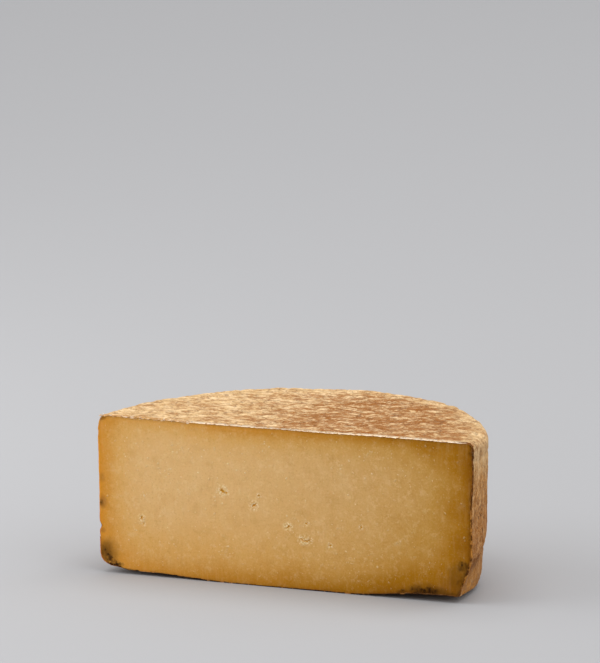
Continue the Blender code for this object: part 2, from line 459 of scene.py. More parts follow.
def weighted(*terms):
    """One value that adds up several products."""
    return sum_of(*(product_of(*term) for term in terms))


def scaled(value, factor, start):
    """A value times a factor, counted from a start."""
    return sum_of(product_of(value, factor), start)


def rise(value, start, end):
    """A smooth step from 0 at start to 1 at end."""
    node = add_node(
        value.id_data, "ShaderNodeMapRange", {"Value": value, "From Min": start, "From Max": end},
        interpolation_type="SMOOTHSTEP",
    )
    return node.outputs["Result"]


def blend(under, over, *shares):
    """The colour under, changed to the colour over by the product of the shares."""
    share = product_of(*shares)
    inputs = {"Factor": share, 6: under, 7: over}
    return add_node(share.id_data, "ShaderNodeMix", inputs, data_type="RGBA").outputs[2]


def layered(colour, *layers):
    """A colour with others laid over it in turn, each given with its shares."""
    for over, *shares in layers:
        colour = blend(colour, over, *shares)
    return colour


def ramp(value, *stops):
    """A colour ramp with a colour at each stop."""
    node = add_node(value.id_data, "ShaderNodeValToRGB", {"Fac": value})
    elements = node.color_ramp.elements
    while len(elements) < len(stops):
        elements.new(0.5)
    for element, (place, colour) in zip(elements, stops):
        element.position = place
        element.color = colour
    return node.outputs["Color"]


def split(vector, *axes):
    """The parts of a vector along some axes."""
    parts = add_node(vector.id_data, "ShaderNodeSeparateXYZ", {"Vector": vector}).outputs
    return [parts[axis] for axis in axes]


def stretched(place, x=1.0, z=1.0):
    """Coordinates stretched so that a pattern on them is drawn out along an axis."""
    inputs = {"Vector": place, "Scale": (x, 1.0, z)}
    return add_node(place.id_data, "ShaderNodeMapping", inputs).outputs["Vector"]


def attribute(place, name):
    """A value that the mesh carries at each place."""
    return add_node(place.id_data, "ShaderNodeAttribute", attribute_name=name).outputs["Fac"]


def bump(height, strength, distance):
    """A bumped normal."""
    inputs = {"Height": height, "Strength": strength, "Distance": distance}
    return add_node(height.id_data, "ShaderNodeBump", inputs).outputs["Normal"]


def noise_field(vector, output="Fac", **values):
    """A noise texture over a vector."""
    node = add_node(vector.id_data, "ShaderNodeTexNoise", {"Vector": vector})
    fill_in(node, **values)
    return node.outputs[output]


def effect_group(name, outputs, **inputs):
    """An empty shader node group: a vector and other inputs with their usual values, and its outputs."""
    tree = bpy.data.node_groups.new(name, "ShaderNodeTree")
    tree.interface.new_socket("Vector", in_out="INPUT", socket_type="NodeSocketVector")
    for label, value in inputs.items():
        kind = "NodeSocketVector" if isinstance(value, tuple) else "NodeSocketFloat"
        tree.interface.new_socket(label, in_out="INPUT", socket_type=kind).default_value = value
    for label in outputs:
        tree.interface.new_socket(label, in_out="OUTPUT", socket_type="NodeSocketFloat")
    return tree, tree.nodes.new("NodeGroupInput").outputs, tree.nodes.new("NodeGroupOutput").inputs


def make_patches_group():
    """Irregular patches: a noise cut off at a threshold, with soft or crisp borders."""
    tree, given, out = effect_group(
        "Patches", ("Mask", "Noise"),
        Scale=100.0, Detail=4.0, Roughness=0.5, Distortion=0.0, Threshold=0.5, Softness=0.1,
    )
    field = noise_field(
        given["Vector"], Scale=given["Scale"], Detail=given["Detail"],
        Roughness=given["Roughness"], Distortion=given["Distortion"],
    )
    low = maths("SUBTRACT", given["Threshold"], given["Softness"])
    high = maths("ADD", given["Threshold"], given["Softness"])
    give(out["Mask"], rise(field, low, high))
    give(out["Noise"], field)
    return tree


def make_specks_group():
    """Scattered round specks or pits, only some of the cells holding one."""
    tree, given, out = effect_group("Specks", ("Mask",), Scale=100.0, Size=0.3, Share=0.3)
    inputs = {"Vector": given["Vector"], "Scale": given["Scale"]}
    cells = add_node(tree, "ShaderNodeTexVoronoi", inputs).outputs
    chance, varied = add_node(tree, "ShaderNodeSeparateColor", {"Color": cells["Color"]}).outputs[:2]
    chosen = maths("LESS_THAN", chance, given["Share"])
    size = product_of(given["Size"], sum_of(varied, 0.4))
    dot = rise(cells["Distance"], size, product_of(size, 0.35))
    give(out["Mask"], product_of(dot, chosen))
    return tree


def make_hairs_group():
    """Thin wandering lines, as of fibres or creases, where a noise crosses its middle value."""
    tree, given, out = effect_group(
        "Hairs", ("Mask",), Scale=100.0, Width=0.02, Distortion=0.5, Detail=2.0,
    )
    field = noise_field(
        given["Vector"], Scale=given["Scale"], Detail=given["Detail"], Distortion=given["Distortion"],
    )
    away = maths("ABSOLUTE", maths("SUBTRACT", field, 0.5))
    give(out["Mask"], rise(away, given["Width"], 0.0))
    return tree


def make_stain_group():
    """One ragged stain round a centre, its reach given along each axis."""
    tree, given, out = effect_group(
        "Stain", ("Mask",),
        Centre=(0.0, 0.0, 0.0), Reach=(0.01, 0.01, 0.01), Raggedness=0.5, Scale=200.0,
    )
    offset = vector_maths("SUBTRACT", given["Vector"], given["Centre"])
    length = vector_maths("LENGTH", vector_maths("DIVIDE", offset, given["Reach"]), output="Value")
    field = noise_field(given["Vector"], Scale=given["Scale"], Detail=5.0)
    ragged = product_of(maths("SUBTRACT", field, 0.5), given["Raggedness"], 4.0)
    give(out["Mask"], rise(sum_of(length, ragged), 1.0, 0.35))
    return tree


def make_weave_group():
    """Height of a plain weave, from a cloth's own flat coordinates."""
    tree, given, out = effect_group("Weave", ("Height",), Pitch=0.0011)
    turns = maths("DIVIDE", math.pi, given["Pitch"])
    wander = noise_field(given["Vector"], "Color", Scale=90.0, Detail=2.0)
    shift = vector_maths("MULTIPLY", wander, (0.0012, 0.0012, 0.0012))
    bent = vector_maths("MULTIPLY", vector_maths("ADD", given["Vector"], shift), turns)
    waves = [maths("ABSOLUTE", maths("SINE", part)) for part in split(bent, "X", "Y")]
    give(out["Height"], product_of(*waves))
    return tree


GROUP_MAKERS = {
    "Patches": make_patches_group,
    "Specks": make_specks_group,
    "Hairs": make_hairs_group,
    "Stain": make_stain_group,
    "Weave": make_weave_group,
}


def effect(name, place, output="Mask", **values):
    """Put a shared effect group into a material, with its own values."""
    group = bpy.data.node_groups.get(name) or GROUP_MAKERS[name]()
    node = add_node(place.id_data, "ShaderNodeGroup", node_tree=group)
    fill_in(node, Vector=place, **values)
    return node.outputs[output]


def patches(place, scale, detail, **values):
    """The noise of the Patches effect, before its threshold."""
    return effect("Patches", place, "Noise", Scale=scale, Detail=detail, **values)


def stain(place, centre, reach, raggedness, scale):
    """A stain with its centre and reach in millimetres."""
    centre, reach = (tuple(part * MM for part in given) for given in (centre, reach))
    return effect("Stain", place, Centre=centre, Reach=reach, Raggedness=raggedness, Scale=scale)


def new_material(name):
    """A material, its Principled shader and the piece's own coordinates."""
    material = bpy.data.materials.new(name)
    material.use_nodes = True
    tree = material.node_tree
    place = add_node(tree, "ShaderNodeTexCoord").outputs["Object"]
    return material, tree.nodes["Principled BSDF"], place


# Stains of the cut face: centre along the cut and above the base, reach both ways, in mm, then
# the colour and the strength
STAINS = (
    (-179, 20, 16, 18, "mould", 0.42),
    (-180, 20, 9, 12, "mould", 0.5),
    (-180, 18, 9, 9, "mould_dark", 0.4),
    (-177, 14, 5, 5, "mould_dark", 0.7),
    (-172, 6.5, 11, 6, "mould_dark", 1.3),
    (-181, 9, 6, 6, "mould_dark", 0.6),
    (-182, 67, 6, 8, "cloth_rust", 0.45),
    (-184, 66, 2.5, 4, "mould_dark", 0.6),
    (-183, 90, 5, 6, "cloth_rust", 0.3),
    (-183, 40, 5, 4, "cloth_rust", 0.4),
    (-181, 146, 5, 3, "mould", 0.5),
    (174, 35, 9, 7, "mould_dark", 0.6),
    (171, 22, 18, 20, "mould", 0.45),
    (177, 18, 9, 18, "mould_dark", 0.4),
    (185, 141, 6, 8, "mould_dark", 0.35),
    (148, 6, 48, 10, "mould", 0.85),
    (150, 3, 46, 6, "mould_dark", 0.7),
    (138, 7, 20, 7, "mould_dark", 0.85),
    (175, 8, 11, 7, "mould_dark", 0.85),
)


def paste_colour(colours, dryness, age_and_falloff):
    """The paste by how dry it is, from the bright left end to the darker right one; the darkening to the
    right is partly the paste's own and partly painted shade of the light falling off from left to right.
    """
    fresh_and_lit = ramp(
        dryness, (0.0, colours.paste_heart), (0.30, colours.paste_inner),
        (0.60, colours.paste_band), (1.0, colours.paste_rim),
    )
    # The darker paste: partly aged, partly painted shade of the light falling off towards the right end
    aged = ramp(
        dryness, (0.0, colours.aged_heart), (0.46, colours.aged_inner),
        (0.73, colours.aged_band), (1.0, colours.aged_rim),
    )
    return blend(fresh_and_lit, aged, age_and_falloff)


def make_paste_material(colours):
    """Waxy aged paste: pale inside, amber and darker towards the rind, with mould at the corners."""
    material, shader, place = new_material("paste")
    dry = attribute(place, "dryness")
    cloudy = sum_of(patches(place, 35, 3), -0.5)
    dryness = sum_of(dry, product_of(cloudy, sum_of(dry, 0.15), 0.4))
    moist = maths("SUBTRACT", 1.0, dryness)
    patchy = patches(place, 75, 3)
    curd = effect("Patches", place, Scale=210, Detail=4, Roughness=0.65, Threshold=0.60, Softness=0.08)
    seams = effect("Hairs", place, Scale=95, Width=0.018, Distortion=0.8, Detail=3)
    fine = patches(place, 560, 4, Roughness=0.65)
    drawn = patches(stretched(place, z=0.12), 330, 3)
    streak = scaled(dryness, 0.06, 0.02)
    body = layered(
        paste_colour(colours, dryness, attribute(place, "age_and_falloff")),
        (colours.paste_curd, rise(patchy, 0.5, 0.75), moist, 0.25),
        (colours.aged_band, rise(patchy, 0.5, 0.25), 0.18),
        (colours.paste_curd, curd, moist, 0.42),
        (colours.paste_curd, seams, moist, 0.16),
        (colours.paste_curd, rise(fine, 0.5, 0.85), scaled(moist, 0.35, 0.12)),
        (colours.aged_band, rise(fine, 0.5, 0.15), 0.5),
        (colours.paste_curd, rise(drawn, 0.48, 0.75), streak),
        (colours.aged_rim, rise(drawn, 0.52, 0.25), streak),
        # Pale crumbs round the openings: partly real crumbs, partly painted highlight
        (colours.crystal_pale, attribute(place, "crumbly"), rise(fine, 0.48, 0.57), 0.9),
        (colours.paste_opening, attribute(place, "opening")),
    )

    dots = effect("Specks", place, Scale=380, Size=0.5, Share=0.3)
    fibres = patches(stretched(place, z=0.3), 420, 4)
    uneven = scaled(rise(fibres, 0.7, 0.3), 0.7, 0.55)
    for x, z, reach_x, reach_z, shade, strength in STAINS:
        crisp = shade == "mould_dark"
        raggedness, scale = (0.45, 190) if crisp else (0.3, 80)
        stained = stain(place, (x, CUT_Y / MM, z), (reach_x, 100, reach_z), raggedness, scale)
        body = blend(body, getattr(colours, shade), stained, strength, uneven if crisp else 1.0)
        if crisp:
            body = blend(body, colours.mould_black, stained, dots, 0.6)

    grain = patches(place, 900, 3)
    drag = patches(stretched(place, z=0.05), 700, 2)
    relief = weighted((grain, 0.7), (drag, 0.2), (curd, 0.4))
    fill_in(
        shader, Base_Color=body, Roughness=0.55, Specular_IOR_Level=0.06,
        Subsurface_Weight=0.15, Subsurface_Radius=(1.0, 0.55, 0.22), Subsurface_Scale=2 * MM,
        Normal=bump(relief, 0.4, 0.3 * MM),
    )
    return material


def make_cloth_material(name, colours, rust, pits):
    """Dry cloth and mould: cream on top, tan to brown down the side, rubbed, fibrous and pitted; the
    creases, seams and pits carry painted shade, and the rubbed brown on the top is partly a painted
    shadow.
    """
    material, shader, place = new_material(name)
    x, z = split(place, "X", "Z")
    crease_shade = attribute(place, "crease_shade")
    # Rubbed bloom, on the top partly a painted shadow
    rubbed_and_shaded = product_of(attribute(place, "rubbed_and_shaded"), rust)
    weathered = attribute(place, "weathered")
    on_side = rise(z, WHEEL_HEIGHT - 2 * MM, WHEEL_HEIGHT - 14 * MM)
    on_top = scaled(on_side, -1.0, 1.0)
    shoulder = product_of(on_side, rise(z, WHEEL_HEIGHT - 50 * MM, WHEEL_HEIGHT - 10 * MM))
    far_right = rise(x, 40 * MM, 150 * MM)
    bloom = weighted((on_side, -0.77), (far_right, on_top, -0.45), (1.0,))
    calm = scaled(weathered, -0.55, 1.0)
    streaked = scaled(weathered, -0.7, 1.0)

    # From foot to top, with brown and rusty areas and flaking bloom round the back
    broken = sum_of(patches(place, 30, 4), -0.5)
    height = sum_of(z, product_of(broken, 0.05))
    browned = patches(place, 16, 5, Roughness=0.55, Distortion=0.5)
    reddish = patches(place, 34, 4, Roughness=0.55)
    flaked = effect("Patches", place, Scale=330, Detail=4, Threshold=0.57, Softness=0.05)
    flakes_here = rise(patches(place, 21, 2), 0.50, 0.64)
    colour = layered(
        ramp(
            rise(height, 0.0, WHEEL_HEIGHT), (0.0, colours.cloth_low), (0.40, colours.cloth_middle),
            (0.86, colours.cloth_high), (1.0, colours.cloth_top),
        ),
        (colours.cloth_weathered, sum_of(rise(browned, 0.40, 0.60), 0.5), weathered, 0.64),
        (colours.cloth_rust, rise(reddish, 0.48, 0.66), weathered, 0.4),
        (colours.cloth_pale, flaked, flakes_here, weathered, 0.55),
    )

    # Rubbed brown and pale areas from large to small, their borders crisp or running together; on the top
    # the brown is partly a painted shadow, most right of the middle and away from the rim
    worn = blend(colours.cloth_rubbed, colours.cloth_rust, on_side)
    sparse = product_of(scaled(rubbed_and_shaded, -1.0, 1.0), on_top, 0.08)
    strong = sum_of(rubbed_and_shaded, product_of(sparse, 5.5))
    spread = stretched(place, x=0.6)
    for scale, brown, pale, crisp, distortion in (
        (22, 0.45, 0.25, 0.20, 0.0),
        (52, 0.55, 0.55, 0.07, 0.8),
        (115, 0.75, 0.65, 0.07, 0.6),
        (260, 0.65, 0.5, 0.09, 0.4),
        (600, 0.4, 0.3, 0.20, 0.0),
    ):
        field = patches(spread, scale, 6, Roughness=0.62, Distortion=distortion)
        over = sum_of(field, product_of(sparse, -1.0))
        colour = layered(
            colour,
            (worn, rise(over, 0.46, 0.46 + crisp), strong, calm, brown),
            (colours.cloth_pale, rise(field, 0.47, 0.47 - crisp), bloom, calm, pale),
        )

    # Creases, streaks, fibres, pits and the marks by the right end of the cut, with painted shade in the
    # creases, seams and pits
    lines = effect("Hairs", place, Scale=70, Width=0.010, Distortion=1.0, Detail=3)
    hairs = effect("Hairs", place, Scale=210, Width=0.014, Distortion=1.4, Detail=3)
    drawn = patches(stretched(place, z=0.10), 480, 4)
    drape = patches(stretched(place, z=0.25), 150, 5)
    torn = stain(place, (182, -65, 72), (40, 30, 18), 0.3, 60)
    golden = stain(place, (176, -70, 10), (40, 34, 28), 0.3, 60)
    scuffed = stain(place, (182, -75, 35), (30, 28, 7), 0.5, 110)
    pitted = weighted((rise(patches(place, 17, 2), 0.44, 0.60), weathered), (torn, 1.3))
    pocks = effect("Specks", stretched(place, z=0.6), Scale=260, Size=0.38, Share=pits)
    specks = product_of(pocks, pitted)
    colour = layered(
        colour,
        # Painted shade in the creases, along the seams and in the crease lines
        (colours.cloth_crease, crease_shade, 0.7),
        (colours.cloth_crease, lines, 0.55),
        (colours.cloth_rust, rise(drawn, 0.5, 0.68), on_side, streaked, 0.5),
        (colours.cloth_pale, rise(drawn, 0.5, 0.32), on_side, streaked, 0.18),
        (colours.cloth_pale, rise(drape, 0.47, 0.60), shoulder, 0.32),
        (colours.cloth_pale, hairs, 0.4),
        (colours.edge_right_low, golden, rise(drawn, 0.42, 0.54), 0.6),
        (colours.cloth_crease, scuffed, 0.55),
        # Painted shade in the pits
        (colours.cloth_pit, specks, 0.85),
    )

    flat = add_node(place.id_data, "ShaderNodeUVMap", uv_map="Cloth").outputs["UV"]
    weave = effect("Weave", flat, "Height", Pitch=1.1 * MM)
    crumple = patches(place, 300, 6, Roughness=0.6)
    hills = patches(place, 125, 3)
    relief = weighted(
        (crumple, 1.2), (hills, 2.2), (weave, 0.12), (drawn, on_side, streaked, 0.6),
        (hairs, 0.25), (lines, -0.5), (specks, -1.0),
    )
    fill_in(
        shader, Base_Color=colour, Roughness=0.88, Specular_IOR_Level=0.15,
        Normal=bump(relief, 0.8, 0.8 * MM),
    )
    return material


def make_edge_material(colours):
    """The cloth's cut edge: a cream crust on top, orange at the left with a painted glow, brown at the
    right, partly dirt and partly painted shade, and a painted contact shadow along the base.
    """
    material, shader, place = new_material("cut_cloth_edge")
    x, z = split(place, "X", "Z")
    flaky = patches(place, 120, 6, Roughness=0.65)

    def ragged_rise(value, amount, start, end):
        """A rise from start to end with a flaky border."""
        return rise(sum_of(value, product_of(sum_of(flaky, -0.5), amount)), start, end)

    # Bright orange at the left end: partly the cloth edge's own colour, partly a painted glow of light
    # through the paste
    left = blend(colours.edge_left_low, colours.edge_left, rise(z, 45 * MM, 80 * MM))
    by_foot = product_of(rise(z, 100 * MM, 75 * MM), rise(z, 10 * MM, 20 * MM))
    # Dark brown at the right end: partly dirt, partly painted shade
    right = layered(
        colours.edge_right,
        (colours.cloth_rust, rise(flaky, 0.46, 0.56)),
        (colours.edge_right_low, by_foot, rise(flaky, 0.46, 0.54)),
    )
    top = layered(
        colours.edge_left_top,
        (colours.edge_top, ragged_rise(x, 0.12, -125 * MM, -85 * MM)),
        (colours.cloth_rust, ragged_rise(x, 0.03, 168 * MM, 178 * MM)),
    )
    # Painted contact shadow along the base, with paler crumbs in it
    base = blend(colours.edge_base, colours.edge_crumb, rise(flaky, 0.54, 0.62))
    dirt = effect("Patches", place, Scale=330, Detail=5, Threshold=0.62, Softness=0.05)
    colour = layered(
        left,
        (right, rise(x, -10 * MM, 10 * MM)),
        (top, ragged_rise(z, 0.004, WHEEL_HEIGHT - 6 * MM, WHEEL_HEIGHT - 3 * MM)),
        (base, ragged_rise(z, 0.006, 10 * MM, 4 * MM)),
        (colours.cloth_rust, dirt, 0.35),
    )
    grain = patches(place, 1200, 3)
    fill_in(
        shader, Base_Color=colour, Roughness=0.9, Specular_IOR_Level=0.15,
        Normal=bump(grain, 0.5, 0.25 * MM),
    )
    return material


def make_flake_material(colours):
    """Torn shreds of the cloth: cream, with tan ones among them."""
    material, shader, place = new_material("cloth_flake")
    tint = rise(patches(place, 260, 3), 0.46, 0.62)
    colour = blend(colours.edge_left_top, colours.edge_top, tint)
    fill_in(shader, Base_Color=colour, Roughness=0.9, Specular_IOR_Level=0.15)
    return material


def make_crystal_material(colours):
    """Dull crystals, most of them only a little paler than the paste round them."""
    material, shader, place = new_material("crystal")
    dryness = attribute(place, "dryness")
    tinted = scaled(rise(patches(place, 160, 2), 0.45, 0.72), 0.45, 0.2)
    colour = blend(
        paste_colour(colours, dryness, attribute(place, "age_and_falloff")), colours.crystal_pale,
        tinted, scaled(dryness, -0.55, 1.0),
    )
    fill_in(
        shader, Base_Color=colour, Roughness=0.6, Specular_IOR_Level=0.2,
        Subsurface_Weight=0.2, Subsurface_Radius=(1.0, 0.7, 0.4), Subsurface_Scale=1 * MM,
    )
    return material


# -------------------- Paste --------------------

# How finely the section is divided: its base, side and top, then the corners of base and top
FACE_RUNS = ((4, 43), (2, 63), (4, 45), 24, 8)
PASTE_SPIN_STEPS = 24
FACE_FINE_REACH = 3 * MM


def opening_at(x, z):
    """Depth of the cracks and pits at a place on the cut face, how much it is inside one, and how
    much it is on the crumbly ground round one."""
    depth, inside, round_it = 0.0, 0.0, 0.0
    for centre_x, centre_z, length, width, turn, deep in OPENINGS:
        dx, dz = x - centre_x, z - centre_z
        if abs(dx) > 2 * length or abs(dz) > 2 * length:
            continue
        wander = 1.1 * ripple(Vector((x, 0.0, z)), 0.9)
        along = (dx * math.cos(turn) + dz * math.sin(turn)) / (length / 2)
        across = (dz * math.cos(turn) - dx * math.sin(turn)) / (width / 2)
        reach = math.hypot(along, across) + wander
        depth = max(depth, deep * smooth(reach, 1.05, 0.35))
        inside = max(inside, smooth(reach, 1.15, 0.7))
        round_it = max(round_it, smooth(math.hypot(dx, dz), length * 1.5, length * 0.6))
    return depth, inside, round_it


def from_right(x, z):
    """How far a place on the cut face is from its right end."""
    return WHEEL_RADIUS - x - draw_in(0.0, z)


def from_base(x, z):
    """How far a place on the cut face is above the base."""
    return z - base_lift(x, CUT_Y)


def face_relief(x, z):
    """How far the cut face lies behind the plane of the cut: uneven, and worn along its border."""
    place = Vector((x, 0.0, z))
    slow = 0.35 * MM * ripple(place, 55)
    drag = 0.06 * MM * noise.noise(Vector((x / (1.8 * MM), 0.0, z / (50 * MM))))
    curd = 0.10 * MM * ripple(place, 4.5)
    crumbly = 0.6 + 0.8 * ripple(place, 3.5)
    worn = 0.5 * smooth(min(from_base(x, z), WHEEL_HEIGHT - z), 3 * MM, 0.8 * MM)
    ragged = from_right(x, z) + 1.2 * MM * ripple(place, 6)
    worn = max(worn, 1.3 * smooth(ragged, 4.5 * MM, 2 * MM))
    return slow + drag + curd + worn * crumbly * MM


def dryness_at(x, z):
    """1 at the rind and 0 deep inside, reaching further in at the right end and along the base."""
    to_middle = smooth(x, -150 * MM, -20 * MM)
    to_end = smooth(x, 40 * MM, 160 * MM)
    by_end = smooth(x, 90 * MM, 170 * MM)
    low = smooth(z, 55 * MM, 15 * MM)
    high = smooth(z, 80 * MM, 115 * MM)
    heart = 1.0
    for distance, amount, reach in (
        (WHEEL_RADIUS + x, 1.0, 15 + 7 * low),
        (from_right(x, z), 1.0, 34 - 6 * high),
        (from_base(x, z), 0.64 + 0.36 * to_end, 11 + 6 * to_end),
        (from_base(x, z), 0.32 + 0.20 * to_middle + 0.14 * to_end, 45),
        # The band along the top goes deeper at the right end: partly dry paste, partly painted shade
        # under the crust
        (WHEEL_HEIGHT - z, 0.42 + 0.38 * to_middle + 0.06 * by_end, 11 + 13 * by_end),
    ):
        heart *= 1 - amount * math.exp(-max(distance - 2 * MM, 0.0) / (reach * MM))
    return 1 - heart


def age_and_falloff_at(x, z):
    """0 for the brighter paste of the left, 1 for the darker paste of the right end and the base; along
    the cut the change is partly the paste's own and partly painted shade of the light falling off from
    left to right.
    """
    low = 0.4 * smooth(from_base(x, z), 30 * MM, 3 * MM) * smooth(x, -165 * MM, -60 * MM)
    return min(smooth(x, -110 * MM, 185 * MM) + low, 1.0)


def add_values(mesh, *labels):
    """Give every corner of a mesh a value under each label, and return these values."""
    for label in labels:
        mesh.attributes.new(label, "FLOAT", "POINT")
    return [mesh.attributes[label].data for label in labels]


def write_values(columns, index, *given):
    """Set a corner's values, in the order of their labels."""
    for column, value in zip(columns, given):
        column[index].value = value


def make_paste(name, material):
    """The cheese itself: turned from its section, and closed at the cut by a fine grid."""
    piece = add_section(name, PASTE_INSET, PASTE_TOP_INSET, FACE_RUNS)
    spin_half(PASTE_SPIN_STEPS)
    bpy.ops.mesh.select_mode(type="EDGE")
    bpy.ops.mesh.select_all(action="DESELECT")
    bpy.ops.mesh.select_non_manifold()
    mesh = bmesh.from_edit_mesh(piece.data)
    # The grid is counted from the top right corner of the open rim
    rim = [corner for corner in mesh.verts if corner.select]
    mesh.select_history.clear()
    mesh.select_history.add(max(rim, key=lambda v: v.co.x + v.co.z))
    span = 2 * math.prod(FACE_RUNS[2]) + FACE_RUNS[4]
    bpy.ops.mesh.fill_grid(span=span, offset=0, use_interp_simple=True)
    bpy.ops.mesh.normals_make_consistent(inside=False)

    def near_opening(face):
        middle = face.calc_center_median()
        return middle.y < NEAR_CUT and any(
            math.hypot(middle.x - x, middle.z - z) < length / 2 + FACE_FINE_REACH
            for x, z, length, *rest in OPENINGS
        )
    pick(piece, "FACE", near_opening)
    bpy.ops.mesh.subdivide(number_cuts=2)
    bpy.ops.object.mode_set(mode="OBJECT")

    values = add_values(piece.data, "dryness", "age_and_falloff", "opening", "crumbly")
    for corner in piece.data.vertices:
        behind = corner.co.y - CUT_Y
        if behind > MM / 10:
            sunk = PASTE_HIDDEN_INSET * smooth(behind, 0.0, 6 * MM)
            up = sunk if corner.co.z < WHEEL_HEIGHT / 2 else -sunk
            corner.co = settled(corner.co, -sunk, up if is_flat_part(corner.co) else 0.0)
            write_values(values, corner.index, 1.0)
            continue
        corner.co = settled(corner.co)
        x, z = corner.co.x, corner.co.z
        depth, inside, round_it = opening_at(x, z)
        crumble = 0.25 * MM * round_it * ripple(Vector((x, 5.0, z)), 0.9)
        corner.co.y = CUT_Y + face_relief(x, z) + depth + crumble
        write_values(values, corner.index, dryness_at(x, z), age_and_falloff_at(x, z), inside, round_it)
    piece.data.materials.append(material)
    finish_piece(piece)


def is_flat_part(point):
    """True on the top or the base of the wheel, inside the rounding of its corners."""
    return wheel_place(point)[0] < WHEEL_RADIUS - BASE_SHOULDER / 2


# -------------------- Cloth --------------------

# How finely each section is divided, in the order of the paste's
TOP_CAP_RUNS = ((1,), (30,), (36,), 1, 3)
BANDAGE_RUNS = ((20,), (30,), (36,), 5, 3)
BASE_CAP_RUNS = ((20,), (30,), (1,), 5, 1)
CLOTH_SPIN_STEPS = 120
FINE_CUTS = 3
MORE_CRINKLED_ON_TOP = 0.4
OUTER, INNER, EDGE = range(3)

# The cut edge, ragged by one amount at its outer rim and another at its inner one, and the crust
# that it makes along the top
EDGE_PROUD = 0.4 * MM
EDGE_WORN_BACK = 0.45 * MM
EDGE_CRINKLED = 0.4
EDGE_RAGGED = (0.175 * MM, -0.525 * MM)
CRUST_DROP = 0.35 * MM
CRUST_RAISED = 1.0 * MM
CRUST_RUNS_BACK = 9 * MM
CRUST_FROM = -125 * MM


def crinkle(place):
    """Height of the fine folds of dried cloth at a place, and how deep in a crease it lies, which the
    cloth's colour shows as painted shade.
    """
    wide = ripple(place, 13)
    bent = place + Vector((wide, ripple(place, 11, 5.0), wide)) * 5 * MM
    fold_line = abs(ripple(bent, 10))
    small_line = abs(ripple(bent, 4.5, 3.0))
    height = 1.1 * min(fold_line, 0.35) + 0.6 * min(small_line, 0.3) + 0.35 * wide - 0.35
    crease_shade = smooth(fold_line, 0.10, 0.0) * smooth(wide, -0.4, 0.3)
    return height * MM, max(crease_shade, 0.6 * smooth(small_line, 0.08, 0.0))


def seam_shade_at(angle, height):
    """1 in the painted shade along a cap's edge or beside a fold of the gathered hem, 0 away from it."""
    lip = smooth(min(abs(height - CAP_EDGE), abs(height - HEM_HEIGHT)), 1.6 * MM, 0.4 * MM)
    along = fold_place(angle)[1]
    beside = smooth(along, 1 - 2 * FOLD_STEP, 1 - FOLD_STEP)
    return max(lip, beside * smooth(height, HEM_HEIGHT + MM, HEM_HEIGHT)) * loose(angle)


def write_cloth_map(piece):
    """Lay the cloth's own flat coordinates, in metres, on the piece as a UV map."""
    layer = piece.data.uv_layers.new(name="Cloth")
    places = []
    for corner in piece.data.vertices:
        radius, angle, height = wheel_place(corner.co)
        if height < WHEEL_HEIGHT - TOP_SHOULDER and radius > WHEEL_RADIUS - 3 * MM:
            places.append((angle * WHEEL_RADIUS, height))
        else:
            places.append((corner.co.x, corner.co.y))
    for loop in piece.data.loops:
        layer.data[loop.index].uv = places[loop.vertex_index]


def rubbed_and_shaded_at(place, radius, height):
    """How much of the pale bloom is rubbed off, partly as a painted shadow on the top: most right of the
    middle, less towards the rim.
    """
    along = 0.3 + 0.7 * smooth(place.x, -120 * MM, 50 * MM)
    inside = 0.35 + 0.65 * smooth(radius, WHEEL_RADIUS - 3 * MM, WHEEL_RADIUS - 40 * MM)
    on_side = smooth(height, WHEEL_HEIGHT - 10 * MM, WHEEL_HEIGHT - 50 * MM)
    return max(along * inside, on_side)


def weathered_at(angle, height):
    """How brown the rind has gone: not at all by the right end of the cut, most round the back."""
    return smooth(angle, math.radians(25), math.radians(70)) * smooth(height, WHEEL_HEIGHT, CAP_EDGE)


def rim_stands(place, is_inner):
    """How far a corner of the cloth's cut edge stands forward of the cut."""
    uneven = 1 + 0.6 * ripple(place, 5)
    if not is_inner:
        return -EDGE_WORN_BACK * uneven
    on_top = smooth(place.z, WHEEL_HEIGHT - 5 * MM, WHEEL_HEIGHT - 2 * MM)
    return EDGE_PROUD * uneven * max(on_top, smooth(place.x, 0.0, 20 * MM))


def crust_drop(place):
    """How far the pale crust along the top hangs down over the paste."""
    ragged = 0.6 + 1.3 * noise.noise(Vector((place.x / (2.2 * MM), 0.0, 0.0)))
    return CRUST_DROP * max(ragged, 0.0) * smooth(place.x, CRUST_FROM, CRUST_FROM + 30 * MM)


